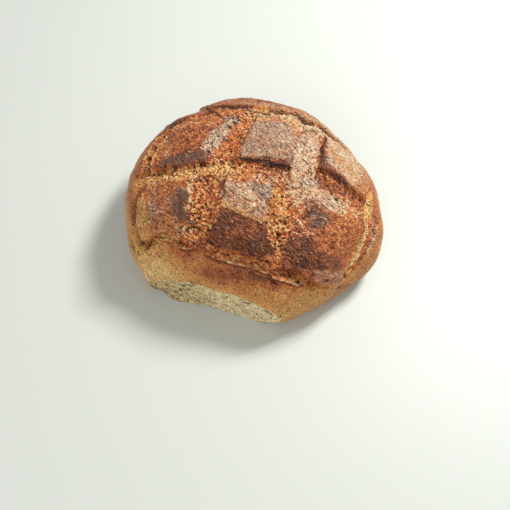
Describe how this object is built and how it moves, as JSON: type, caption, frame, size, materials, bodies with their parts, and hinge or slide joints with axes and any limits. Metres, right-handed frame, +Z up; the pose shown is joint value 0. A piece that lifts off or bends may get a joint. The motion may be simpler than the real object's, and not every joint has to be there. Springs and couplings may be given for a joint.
{
  "type": "whole wheat loaf",
  "caption": "Round whole wheat hearth loaf with a browned, deeply scored crust, a flat base, and one low side torn flat where it was baked against another.",
  "frame": {"origin": "centre of the loaf's box, on the surface that it rests on", "axes": "+X along the longest way across the loaf, +Z up; the torn side looks towards -Y, turned about 20 degrees towards -X"},
  "size_m": [0.204, 0.1945, 0.0874],
  "materials": {
    "crust": "toasted crust, dull and slightly dusty, with bare crumb on the torn side"
  },
  "bodies": {
    "root": {"loaf": "crust"}
  },
  "joints": []
}
